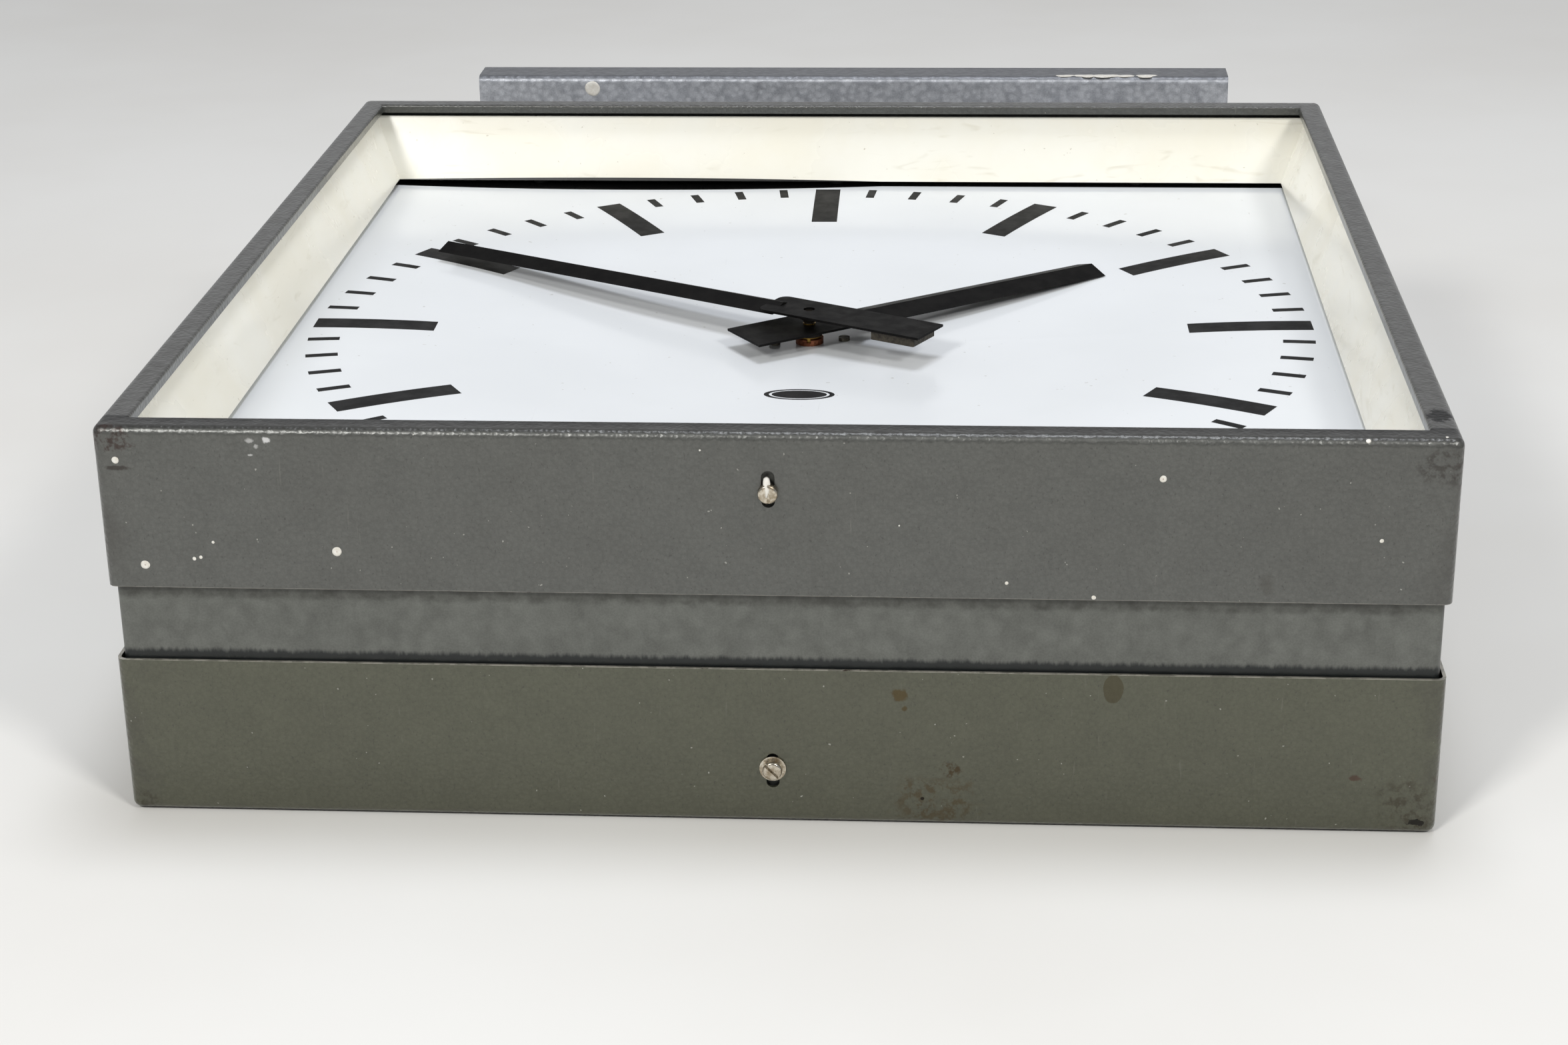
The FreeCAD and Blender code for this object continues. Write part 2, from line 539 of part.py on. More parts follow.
def hand(reach, tail, tip_w, arm_w, plate_w, shoulder, top, edge, hole_r, angle):
    arm = Part.makeLoft([gable(shoulder - SHOULDER_OVERLAP, arm_w / 2, edge),
                         gable(reach, tip_w / 2, edge)], True, True)
    body = block(-plate_w / 2, plate_w / 2, -tail, shoulder, up(top - HAND_SHEET), up(top))
    body = rounded(body, SHOULDER_ROUND, lambda c, e: abs(c.y - shoulder) < 0.01 and abs(c.x) > plate_w / 4)
    body = joined([body, arm]).cut(rod(hole_r, up(0), up(top + edge)))
    body.rotate(V(0, 0, 0), V(0, 0, 1), angle)
    return body


def hour_hand():
    return hand(HOUR_REACH, HOUR_TAIL, HOUR_TIP_W, HOUR_ARM_W, HOUR_PLATE_W, HOUR_SHOULDER,
                HOUR_PLATE_TOP, HOUR_EDGE, PIPE_R, HOUR_ANGLE)


def minute_hand():
    return hand(MINUTE_REACH, MINUTE_TAIL, MINUTE_TIP_W, MINUTE_ARM_W, MINUTE_PLATE_W, MINUTE_SHOULDER,
                MINUTE_PLATE_TOP, MINUTE_EDGE, HUB_HOLE_R, MINUTE_ANGLE)


def counterweight():
    top = MINUTE_PLATE_TOP - HAND_SHEET
    body = block(-WEIGHT_W / 2, WEIGHT_W / 2, -WEIGHT_TO, -WEIGHT_FROM, up(top - WEIGHT), up(top))
    body = rounded(body, WEIGHT_ROUND, lambda c, e: is_upright(e))
    body.rotate(V(0, 0, 0), V(0, 0, 1), MINUTE_ANGLE)
    return body


def hour_collet():
    top = HOUR_PLATE_TOP - HAND_SHEET
    collet = rod(HOUR_COLLET_R, up(HOUR_COLLET_FOOT), up(top))
    low, high, depth = COLLET_GROOVE
    groove = rod(HOUR_COLLET_R + PAST, up(low), up(high)).cut(rod(HOUR_COLLET_R - depth, up(low), up(high)))
    return collet.cut(groove).cut(rod(PIPE_R, up(0), up(top + PAST)))


def minute_collet():
    top = MINUTE_PLATE_TOP - HAND_SHEET
    height, smaller = MINUTE_COLLET_STEP
    wide = rod(MINUTE_COLLET_R, up(MINUTE_COLLET_FOOT + height), up(top))
    foot = rod(MINUTE_COLLET_R - smaller, up(MINUTE_COLLET_FOOT), up(MINUTE_COLLET_FOOT + height))
    return joined([wide, foot]).cut(rod(ARBOR_R, up(0), up(top + PAST)))


# ---- case ------------------------------------------------------------------------------------------
def bolt_places():
    return [(leg + side, MID) for leg in (-LEG_X, LEG_X) for side in (-BOLT_OFFSET, BOLT_OFFSET)]


def case():
    end = SHEET + CASE_END_GAP
    outer = rounded(square(CASE_HALF, end, DEPTH - end), CASE_CORNER, lambda c, e: is_upright(e))
    inner = square(CASE_IN, end - PAST, DEPTH - end + PAST)
    body = outer.cut(rounded(inner, CASE_CORNER - SHEET, lambda c, e: is_upright(e)))
    for z in (SCREW_DEPTH, DEPTH - SCREW_DEPTH):
        body = body.cut(rod_y(SCREW_R, -CASE_HALF - PAST, -CASE_IN + PAST, 0, z))
    for x, z in bolt_places():
        body = body.cut(rod_y(BOLT_R, CASE_IN - PAST, CASE_HALF + PAST, x, z))
    return body.cut(rod_y(WIRE_HOLE_R, CASE_IN - PAST, CASE_HALF + PAST, -LEG_X, MID))


def stiffener():
    body = block(-STIFFENER_X / 2, STIFFENER_X / 2, CASE_IN - STIFFENER, CASE_IN,
                 MID - FOOT_Z / 2, MID + FOOT_Z / 2)
    for x, z in bolt_places():
        body = body.cut(rod_y(BOLT_R, CASE_IN - STIFFENER - PAST, CASE_IN + PAST, x, z))
    return body.cut(rod_y(WIRE_HOLE_R, CASE_IN - STIFFENER - PAST, CASE_IN + PAST, -LEG_X, MID))


def terminal_block():
    top = CASE_IN - STIFFENER
    face = top - TERMINAL_Y
    body = block(-TERMINAL_X / 2, TERMINAL_X / 2, face, top, MID - TERMINAL_Z / 2, MID + TERMINAL_Z / 2)
    for k in range(-1, 2):
        for z in (MID - TERMINAL_ROW, MID + TERMINAL_ROW):
            hole = rod_y(TERMINAL_HOLE_R, face - PAST, face + TERMINAL_HOLE, k * TERMINAL_PITCH, z)
            body = body.cut(hole)
    return body


# ---- ceiling bracket ------------------------------------------------------------------------------
def bracket():
    half_x, half_z = BRACKET_W / 2, BRACKET_HALF_Z

    def trough(inset, bend, far):
        near = WEB_Y + inset
        body = block(-half_x, half_x, near, far, MID - half_z + inset, MID + half_z - inset)
        return rounded(body, bend, lambda c, e: abs(c.y - near) < 0.01 and e.BoundBox.XLength > half_x)

    body = trough(0, BRACKET_BEND, BRACKET_RIM_Y).cut(trough(BRACKET_SHEET, BRACKET_BEND - BRACKET_SHEET,
                                                             BRACKET_RIM_Y + PAST))
    holes = [(x, z, CEILING_HOLE_R) for x in (-CEILING_X / 2, CEILING_X / 2)
             for z in (MID - CEILING_Z / 2, MID + CEILING_Z / 2)]
    holes += [(x, z, BOLT_R) for x, z in bolt_places()] + [(-LEG_X, MID, WIRE_HOLE_R)]
    for x, z, radius in holes:
        body = body.cut(rod_y(radius, WEB_Y - PAST, WEB_Y + BRACKET_SHEET + PAST, x, z))
    return body


def leg(side):
    x = side * LEG_X
    foot_top, head_foot = CASE_HALF + FOOT, WEB_Y - FOOT

    def tube(half):
        return block(x - half, x + half, foot_top, head_foot, MID - half, MID + half)

    wall = tube(LEG_SIDE / 2).cut(tube(LEG_SIDE / 2 - LEG_WALL))
    foot = block(x - FOOT_X / 2, x + FOOT_X / 2, CASE_HALF, foot_top, MID - FOOT_Z / 2, MID + FOOT_Z / 2)
    head = block(x - FOOT_X / 2, x + FOOT_X / 2, head_foot, WEB_Y, MID - HEAD_Z / 2, MID + HEAD_Z / 2)
    body = joined([wall, foot, head])
    for offset in (-BOLT_OFFSET, BOLT_OFFSET):
        body = body.cut(rod_y(BOLT_R, CASE_HALF - PAST, WEB_Y + PAST, x + offset, MID))
    if side < 0:
        body = body.cut(rod_y(WIRE_HOLE_R, CASE_HALF - PAST, WEB_Y + PAST, x, MID))
    return body


def foot_bolts():
    seat, inside = CASE_HALF + FOOT, CASE_IN - STIFFENER
    bolts = []
    for x, z in bolt_places():
        bolts += [rod_y(BOLT_R, inside - BOLT_NUT, seat, x, z),
                  hexagon(BOLT_HEAD_R, seat, seat + BOLT_HEAD, x, z),
                  hexagon(BOLT_HEAD_R, inside - BOLT_NUT, inside, x, z)]
    return Part.makeCompound([joined(bolts[k:k + 3]) for k in range(0, len(bolts), 3)])


def head_bolts():
    seat, under = WEB_Y + BRACKET_SHEET, WEB_Y - FOOT
    bolts = []
    for x, z in bolt_places():
        bolts.append(joined([rod_y(BOLT_R, under - BOLT_NUT, seat, x, z),
                             hexagon(BOLT_HEAD_R, seat, seat + BOLT_HEAD, x, z),
                             hexagon(BOLT_HEAD_R, under - BOLT_NUT, under, x, z)]))
    return Part.makeCompound(bolts)


def grommet():
    start, end = WEB_Y - FOOT, WEB_Y + BRACKET_SHEET
    body = joined([rod_y(WIRE_HOLE_R, start, end, -LEG_X, MID),
                   rod_y(GROMMET_R, end, end + GROMMET_FLANGE, -LEG_X, MID)])
    return body.cut(rod_y(GROMMET_BORE_R, start - PAST, end + GROMMET_FLANGE + PAST, -LEG_X, MID))


# ---- assembly --------------------------------------------------------------------------------------
def on_rear(shape):
    turned = shape.copy()
    turned.rotate(V(0, 0, MID), V(0, 1, 0), 180)
    return turned


ONE_SIDE = {"cover": cover, "shroud": shroud, "dial": dial, "dial_frame": dial_frame,
            "shroud_spacers": spacers, "shroud_screws": fixing_screws, "clinch_nut": clinch_nut,
            "minute_hand": minute_hand, "minute_counterweight": counterweight,
            "minute_collet": minute_collet, "minute_arbor": minute_arbor, "hour_hand": hour_hand,
            "hour_collet": hour_collet, "hour_wheel": hour_wheel, "motion_wheel": motion_wheel,
            "middle_wheel": mid_wheel, "rotor": rotor,
            "movement_front_plate": front_plate, "movement_back_plate": back_plate,
            "movement_pillars": pillars, "stator": stator, "coil": coil, "fixing_nut": fixing_nut,
            "dial_screws": dial_screws}

nodes = {"case": case(), "bracket": bracket(), "left_leg": leg(-1), "right_leg": leg(1),
         "foot_bolts": foot_bolts(), "head_bolts": head_bolts(), "top_stiffener": stiffener(),
         "terminal_block": terminal_block(), "wire_grommet": grommet(),
         "front_cover_screw": cover_screw(0, FRONT_SCREW_TURN),
         "rear_cover_screw": on_rear(cover_screw(WASHER, REAR_SCREW_TURN)),
         "rear_cover_washer": on_rear(cover_washer())}
for name, make in ONE_SIDE.items():
    piece = make()
    nodes["front_" + name] = piece
    nodes["rear_" + name] = on_rear(piece)

os.makedirs("parts", exist_ok=True)
whole = FreeCAD.BoundBox()
for name, piece in nodes.items():
    placed = piece.copy()
    placed.translate(V(0, TO_ROW_Y, 0))
    whole.add(placed.BoundBox)
    placed.exportStep("parts/" + name + ".step")
    print(name, "valid", placed.isValid(), "solids", len(placed.Solids), "volume", round(placed.Volume, 1))
print("nodes", len(nodes), "row origin to case centre y", round(TO_ROW_Y, 3), "box", whole)
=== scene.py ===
import json
import math
import random
import bpy
from mathutils import Matrix, Vector
from mathutils.bvhtree import BVHTree


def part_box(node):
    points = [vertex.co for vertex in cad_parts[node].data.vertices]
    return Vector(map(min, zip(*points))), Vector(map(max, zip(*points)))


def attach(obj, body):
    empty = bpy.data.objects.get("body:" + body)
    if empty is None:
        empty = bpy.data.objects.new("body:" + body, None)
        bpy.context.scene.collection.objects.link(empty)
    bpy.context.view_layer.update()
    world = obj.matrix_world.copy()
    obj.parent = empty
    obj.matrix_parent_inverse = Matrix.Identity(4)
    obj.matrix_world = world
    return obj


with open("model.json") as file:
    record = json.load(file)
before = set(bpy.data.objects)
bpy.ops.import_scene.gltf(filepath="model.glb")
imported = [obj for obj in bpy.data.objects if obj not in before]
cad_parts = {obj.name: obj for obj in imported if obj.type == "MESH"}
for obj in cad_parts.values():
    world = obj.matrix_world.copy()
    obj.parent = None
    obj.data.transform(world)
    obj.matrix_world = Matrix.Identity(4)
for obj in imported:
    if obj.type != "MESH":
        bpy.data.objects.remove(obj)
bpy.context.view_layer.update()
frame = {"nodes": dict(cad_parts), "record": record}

RANDOM_SEED = 7
# the first colour is painted shade for the gap under the shroud's far foot; the second is dirt and painted
# shade on the covers' face flange
PAINTED_GAP_SHADE, GRIME_AND_SHADE, DUST = "080808", "2f2d28", "b9b8b0"

# ---- places, read from the frame ---------------------------------------------------------------
COVER_LOW, COVER_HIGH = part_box("front_cover")
CENTRE_Y = (COVER_LOW.y + COVER_HIGH.y) / 2
HALF = (COVER_HIGH.x - COVER_LOW.x) / 2
DEPTH = COVER_HIGH.z
MID_Z = DEPTH / 2
MOUTH = COVER_LOW.z - MID_Z             # cover's open edge, measured from the middle plane
FACE = DEPTH - MID_Z                    # cover's face, from the same plane
NEAR_Y = COVER_LOW.y
BRACKET_LOW, BRACKET_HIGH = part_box("bracket")
SHROUD_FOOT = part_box("front_shroud")[0].z
FAR_FOOT = CENTRE_Y + 0.221             # foot of the shroud's far wall
FLANGE_WIDTH = 0.011
SCREW_BELOW_FACE = 0.022
# painted shade for the gap under that foot: middle, half length, rise on the wall, depth on the dial
SAG_X, SAG_HALF, SAG, SAG_SEEN = -0.105, 0.128, 0.0014, 0.0085


def linear(value):
    return value / 12.92 if value <= 0.04045 else ((value + 0.055) / 1.055) ** 2.4


def colour(code):
    return tuple(linear(int(code[i:i + 2], 16) / 255) for i in (0, 2, 4)) + (1.0,)


# ---- procedural paint --------------------------------------------------------------------------
class Finish:
    """One node material. Every pattern reads object coordinates: the row frame, in metres."""

    def __init__(self, name, roughness=0.5, metallic=0.0, coat=0.0, coat_roughness=0.1, specular=0.5):
        self.made = bpy.data.materials.new(name)
        self.made.use_nodes = True
        self.tree = self.made.node_tree
        self.shader = self.tree.nodes["Principled BSDF"]
        self.shader.inputs["Roughness"].default_value = roughness
        self.shader.inputs["Metallic"].default_value = metallic
        self.shader.inputs["Specular IOR Level"].default_value = specular
        self.shader.inputs["Coat Weight"].default_value = coat
        self.shader.inputs["Coat Roughness"].default_value = coat_roughness
        self.place = self.add("ShaderNodeTexCoord").outputs["Object"]
        self.normal = None

    def add(self, kind, inputs=None, **settings):
        node = self.tree.nodes.new(kind)
        for key, value in settings.items():
            setattr(node, key, value)
        for key, value in (inputs or {}).items():
            self.feed(node.inputs[key], value)
        return node

    def feed(self, socket, value):
        if isinstance(value, bpy.types.NodeSocket):
            self.tree.links.new(value, socket)
        else:
            socket.default_value = value

    def axis(self, name):
        return self.add("ShaderNodeSeparateXYZ", {0: self.place}).outputs[name]

    def maths(self, operation, a, b=0.0):
        return self.add("ShaderNodeMath", {0: a, 1: b}, operation=operation).outputs[0]

    def ranged(self, value, least, spread):
        """least where value is 0, and least plus spread where it is 1."""
        return self.maths("ADD", least, self.maths("MULTIPLY", value, spread))

    def tint(self, base, mask, strength, code):
        """base turned towards a colour by this share of the mask."""
        return self.blend(self.maths("MULTIPLY", mask, strength), base, colour(code))

    def stretched(self, factors, turn=(0, 0, 0)):
        node = self.add("ShaderNodeMapping", {"Vector": self.place, "Scale": factors, "Rotation": turn})
        return node.outputs[0]

    def noise(self, size, detail=2.0, roughness=0.5, where=None, warp=0.0):
        node = self.add("ShaderNodeTexNoise", {"Vector": where or self.place, "Scale": 1 / size,
                                               "Detail": detail, "Roughness": roughness,
                                               "Distortion": warp})
        return node.outputs[0]

    def cells(self, size, smooth):
        node = self.add("ShaderNodeTexVoronoi", {"Vector": self.place, "Scale": 1 / size,
                                                 "Smoothness": smooth}, feature="SMOOTH_F1")
        return node.outputs["Distance"]

    def step(self, value, low, high):
        """0 at low, 1 at high, smooth between. low may be above high."""
        turned = low > high
        node = self.add("ShaderNodeMapRange", {"Value": value, "From Min": min(low, high),
                                               "From Max": max(low, high),
                                               "To Min": float(turned), "To Max": float(not turned)},
                        interpolation_type="SMOOTHSTEP")
        return node.outputs[0]

    def blend(self, factor, a, b):
        node = self.add("ShaderNodeMix", {0: factor, 6: a, 7: b}, data_type="RGBA")
        return node.outputs[2]

    def bump(self, height, distance, strength=1.0):
        inputs = {"Height": height, "Distance": distance, "Strength": strength}
        if self.normal is not None:
            inputs["Normal"] = self.normal
        self.normal = self.add("ShaderNodeBump", inputs).outputs[0]

    def spot(self, centre, radii, ragged, edge, grain):
        """A ragged patch: 1 inside, 0 outside an ellipsoid of these radii, with an edge this wide."""
        shifted = self.add("ShaderNodeVectorMath", {0: self.place, 1: centre},
                           operation="SUBTRACT").outputs[0]
        scaled = self.add("ShaderNodeVectorMath", {0: shifted, 1: tuple(1 / r for r in radii)},
                          operation="MULTIPLY").outputs[0]
        far = self.add("ShaderNodeVectorMath", {0: scaled}, operation="LENGTH").outputs["Value"]
        uneven = self.maths("SUBTRACT", self.noise(grain, 4.0, 0.65), 0.5)
        rough = self.maths("MULTIPLY", uneven, 4 * ragged)
        return self.step(self.maths("ADD", far, rough), 1.0, 1.0 - edge)

    def both(self, *masks):
        """1 only where all the masks are 1."""
        out = masks[0]
        for mask in masks[1:]:
            out = self.maths("MULTIPLY", out, mask)
        return out

    def finish(self, base, roughness=None):
        self.feed(self.shader.inputs["Base Color"], base)
        if roughness is not None:
            self.feed(self.shader.inputs["Roughness"], roughness)
        if self.normal is not None:
            self.feed(self.shader.inputs["Normal"], self.normal)
            self.feed(self.shader.inputs["Coat Normal"], self.normal)
        return self.made


GRAIN_SIZE, GRAIN_SHARE = 0.0007, 0.30


def hammered(paint, light, dark, cell, contrast, depth, mottle, mottle_size):
    """Hammer finish: soft dimples with a darker net between them, and a fine metallic grain."""
    net = paint.step(paint.cells(cell, 0.8), 0.15, 0.75)
    grain = paint.step(paint.noise(GRAIN_SIZE, 3.0, 0.6), 0.3, 0.7)
    cloud = paint.step(paint.noise(mottle_size, 3.0, 0.6), 0.3, 0.7)
    mix = paint.maths("ADD", paint.maths("MULTIPLY", net, contrast),
                      paint.maths("MULTIPLY", grain, GRAIN_SHARE))
    mix = paint.maths("ADD", mix, paint.maths("MULTIPLY", cloud, mottle))
    paint.bump(net, depth, 0.6)
    paint.bump(grain, depth * 0.3, 0.35)
    return paint.blend(paint.maths("MINIMUM", mix, 1.0), light, dark)


CHIP_REACH, GRIME_REACH = 0.0032, 0.016   # from an upright corner


def corner_gap(paint):
    """Distance round the surface from the nearest upright corner of the square."""
    x = paint.maths("ABSOLUTE", paint.axis("X"))
    y = paint.maths("ABSOLUTE", paint.maths("SUBTRACT", paint.axis("Y"), CENTRE_Y))
    return paint.maths("SUBTRACT", 2 * HALF, paint.maths("ADD", x, y))


def from_middle(paint):
    """Distance from the plane half way between the two faces."""
    return paint.maths("ABSOLUTE", paint.maths("SUBTRACT", paint.axis("Z"), MID_Z))


def worn(paint, base, rust, amount):
    """Brown chips along the upright corners and dark grime beside them."""
    gap = corner_gap(paint)
    chips = paint.step(paint.noise(0.0035, 5.0, 0.7), 0.60 - amount, 0.66 - amount)
    near = paint.step(gap, CHIP_REACH, 0.0008)
    grime = paint.both(paint.step(gap, GRIME_REACH, 0.002),
                       paint.step(paint.noise(0.012, 4.0, 0.65), 0.35, 0.75))
    base = paint.tint(base, grime, 0.35, "3a3632")
    return paint.blend(paint.maths("MULTIPLY", chips, near), base, rust)


COVER_COAT = 0.8
BEND = 0.0011                           # where the bend round the face flange begins, below the face
BARE_EDGE = 0.00022                     # bare metal along the open rim


def cover_paint(name, light, dark, rim, rust, stains, wear):
    """Hammer finish of a cover, with its stains and with worn, rusty corners."""
    paint = Finish(name, roughness=0.36, metallic=0.55, coat_roughness=0.30)
    base = hammered(paint, light, dark, 0.0016, 0.26, 0.00015, 0.16, 0.012)
    height = from_middle(paint)
    # fine specks, dust and long faint scrapes
    pits = paint.step(paint.noise(0.0011, 2.0, 0.5, paint.stretched((1.3, 1.3, 0.8))), 0.64, 0.72)
    base = paint.tint(base, pits, 0.40, "262421")
    turned = paint.stretched((1, 1, 1), (0.3, 0.5, 0.2))
    dust = paint.step(paint.noise(0.0017, 1.0, 0.5, turned), 0.79, 0.81)
    base = paint.tint(base, dust, 0.6, DUST)
    drawn_out = paint.stretched((9.0, 9.0, 0.8), (0.0, 0.12, 0.0))
    scrape = paint.step(paint.noise(0.012, 3.0, 0.55, drawn_out), 0.68, 0.80)
    base = paint.tint(base, scrape, 0.22, "8a8880")
    cloud = paint.step(paint.noise(0.07, 3.0, 0.5), 0.35, 0.7)
    base = paint.tint(base, cloud, 0.10, "45423c")
    # the face flange is painted darker than the sides, in mottled patches: partly dirt, partly painted
    # shade
    top = paint.step(height, FACE - BEND, FACE - 0.0003)
    dirt_and_shade = paint.step(paint.noise(0.005, 4.0, 0.6), 0.25, 0.75)
    base = paint.blend(paint.both(top, paint.ranged(dirt_and_shade, 0.42, 0.45)), base, colour(GRIME_AND_SHADE))
    # painted shade on the lower flange, darkest towards its inner edge, with less lacquer where it is
    # darkest
    inner_edge = NEAR_Y + FLANGE_WIDTH
    lowest = paint.both(top, paint.step(paint.axis("Y"), inner_edge + 0.0015, inner_edge + 0.0008))
    inward = paint.step(paint.axis("Y"), NEAR_Y + 0.001, inner_edge - 0.001)
    matte = paint.both(lowest, paint.ranged(inward, 0.30, 0.45))
    base = paint.blend(matte, base, colour("0c0c0b"))
    base = worn(paint, base, rust, wear)
    for centre, radii, shade, strength, ragged, soft, patchy in stains:
        mark = paint.spot(centre, radii, ragged, soft, min(radii) * 1.3)
        if patchy:
            mark = paint.maths("MULTIPLY", mark, paint.step(paint.noise(0.0035, 4.0, 0.7), 0.44, 0.60))
        mark = paint.maths("MULTIPLY", mark, strength)
        matte = paint.maths("MAXIMUM", matte, mark)
        base = paint.blend(mark, base, colour(shade))
    lacquer = paint.maths("MULTIPLY", paint.maths("SUBTRACT", 1.0, matte), COVER_COAT)
    paint.feed(paint.shader.inputs["Coat Weight"], lacquer)
    # bare edge of the open rim
    edge = paint.step(height, MOUTH + BARE_EDGE, MOUTH + 0.00006)
    spotty = paint.step(paint.noise(0.004, 3.0, 0.6), 0.40, 0.55)
    bare = paint.blend(paint.step(paint.noise(0.006, 4.0, 0.7), 0.62, 0.70), rim, rust)
    base = paint.blend(paint.both(edge, paint.ranged(spotty, 0.4, 0.4)), base, bare)
    return paint.finish(base, paint.ranged(dirt_and_shade, 0.33, 0.12))


SHADE_FROM, SHADE_TO = 0.0062, 0.0032   # shade on the band, below the front cover's open edge
SEAL_TOP, SEAL_FULL = 0.0046, 0.0023    # torn seal, above the rear cover's open edge


def case_paint():
    """The band: shaded under the front cover, with a torn black seal above the rear one."""
    paint = Finish("band_hammertone", roughness=0.42, metallic=0.25, coat=0.1, coat_roughness=0.3)
    base = hammered(paint, colour("6b6d68"), colour("4d4e4a"), 0.0050, 0.22, 0.00018, 0.34, 0.009)
    height = from_middle(paint)
    streak = paint.step(paint.noise(0.0030, 3.0, 0.6, paint.stretched((1.0, 1.0, 0.40))), 0.58, 0.78)
    base = paint.tint(base, streak, 0.22, "3c3d3a")
    above = paint.maths("SUBTRACT", paint.axis("Z"), MID_Z)
    ragged = paint.maths("MULTIPLY", paint.maths("SUBTRACT", paint.noise(0.006, 4.0, 0.65), 0.5), 0.0045)
    shade = paint.step(paint.maths("ADD", above, ragged), MOUTH - SHADE_FROM, MOUTH - SHADE_TO)
    patchy = paint.ranged(paint.step(paint.noise(0.005, 3.0, 0.6), 0.3, 0.75), 0.34, 0.42)
    base = paint.blend(paint.both(shade, patchy), base, colour("2c2b26"))
    wisps = paint.noise(0.0022, 3.0, 0.6, paint.stretched((1.0, 1.0, 0.25)))
    torn = paint.maths("MULTIPLY", paint.maths("SUBTRACT", wisps, 0.5), -0.0036)
    seal = paint.step(paint.maths("ADD", above, torn), -MOUTH + SEAL_TOP, -MOUTH + SEAL_FULL)
    base = paint.tint(base, seal, 0.95, "15191a")
    hidden = paint.step(height, MOUTH + 0.002, MOUTH + 0.006)
    base = paint.tint(base, hidden, 0.3, "4b4c48")
    return paint.finish(base)


def bracket_paint():
    paint = Finish("bracket_hammertone", roughness=0.4, metallic=0.35, coat=0.12, coat_roughness=0.25)
    base = hammered(paint, colour("cfd2d8"), colour("95989f"), 0.0032, 0.45, 0.00025, 0.25, 0.006)
    # painted shade: the top of the bracket is painted darker than its front
    upper = paint.step(paint.axis("Z"), BRACKET_HIGH.z - 0.0025, BRACKET_HIGH.z - 0.0006)
    base = paint.tint(base, upper, 0.78, "3a3b3e")
    worn_spots = paint.step(paint.noise(0.02, 4.0, 0.6), 0.60, 0.72)
    base = paint.tint(base, worn_spots, 0.25, "4a4c50")
    return paint.finish(base)


SHARP = 0.0001                          # half width of the edge of the painted gap shade


def sagging(paint, most):
    """Size of the painted shade that stands for the gap where the front dial sags from the far foot of its
    shroud.
    """
    off = paint.maths("MULTIPLY", paint.maths("SUBTRACT", paint.axis("X"), SAG_X), 1 / SAG_HALF)
    bow = paint.maths("SUBTRACT", 1.0, paint.maths("MULTIPLY", off, off))
    return paint.maths("MAXIMUM", paint.maths("MULTIPLY", bow, most), 0.0)


def cream_paint():
    paint = Finish("cream_enamel", roughness=0.28, coat=0.25, coat_roughness=0.12)
    cloud = paint.step(paint.noise(0.05, 4.0, 0.55), 0.3, 0.7)
    base = paint.blend(cloud, colour("fbf9ee"), colour("f7f3e3"))
    # painted reflection: slanted darker streaks standing for the dial's marks mirrored in the glossy
    # enamel
    slanted = paint.stretched((1.0, 1.0, 5.0), (0.5, 0.3, 0.0))
    streaks = paint.step(paint.noise(0.035, 2.0, 0.5, slanted, 1.5), 0.60, 0.78)
    base = paint.tint(base, streaks, 0.30, "c9c1a6")
    specks = paint.step(paint.noise(0.0024, 2.0, 0.5), 0.73, 0.77)
    base = paint.tint(base, specks, 0.4, "9a8c6a")
    # painted shade: a dark band at the foot of the far wall, where the gap below it lies in shade
    line = paint.maths("ADD", sagging(paint, SAG), SHROUD_FOOT)
    dark = paint.both(paint.step(paint.maths("SUBTRACT", paint.axis("Z"), line), SHARP, -SHARP),
                      paint.step(paint.axis("Y"), FAR_FOOT - 0.02, FAR_FOOT - 0.01),
                      paint.step(paint.axis("Z"), MID_Z, MID_Z + 0.001))
    base = paint.blend(dark, base, colour(PAINTED_GAP_SHADE))
    paint.bump(paint.noise(0.0012, 2.0, 0.5), 0.00003, 0.35)
    paint.bump(paint.noise(0.02, 2.0, 0.5), 0.0004, 0.15)
    return paint.finish(base, paint.ranged(cloud, 0.22, 0.10))


def dial_paint():
    paint = Finish("white_dial", roughness=0.22, coat=0.12, coat_roughness=0.08, specular=0.4)
    cloud = paint.step(paint.noise(0.08, 3.0, 0.5), 0.3, 0.7)
    base = paint.blend(cloud, colour("e9ecee"), colour("e4e7e9"))
    along = paint.stretched((14.0, 0.7, 1.0), (0.0, 0.0, 0.7))
    hair = paint.step(paint.noise(0.03, 3.0, 0.5, along), 0.73, 0.82)
    base = paint.tint(base, hair, 0.16, "8f8f8a")
    specks = paint.step(paint.noise(0.003, 1.0, 0.5), 0.77, 0.80)
    base = paint.tint(base, specks, 0.35, "9d988c")
    # painted shade: a dark crescent on the dial along the far wall's foot, standing for the shaded gap
    gap_line = paint.maths("SUBTRACT", FAR_FOOT, sagging(paint, SAG_SEEN))
    dark = paint.both(paint.step(paint.maths("SUBTRACT", paint.axis("Y"), gap_line), -SHARP, SHARP),
                      paint.step(paint.axis("Z"), MID_Z, MID_Z + 0.001))
    base = paint.blend(dark, base, colour(PAINTED_GAP_SHADE))
    paint.bump(paint.noise(0.03, 2.0, 0.5), 0.0004, 0.10)
    return paint.finish(base, paint.ranged(cloud, 0.16, 0.10))


def plain_finish(name, light, dark, size, roughness, metallic=0.0, spread=0.12, dent=0.00002, coat=0.0,
                 specular=0.5):
    """A two-tone cloudy finish with a fine grain: metals, rubber and mouldings."""
    paint = Finish(name, roughness=roughness, metallic=metallic, coat=coat, specular=specular)
    cloud = paint.step(paint.noise(size, 4.0, 0.6), 0.3, 0.7)
    grain = paint.noise(size / 9, 2.0, 0.5)
    base = paint.blend(cloud, colour(light), colour(dark))
    paint.bump(grain, dent, 0.4)
    return paint.finish(base, paint.ranged(cloud, roughness - spread / 2, spread))


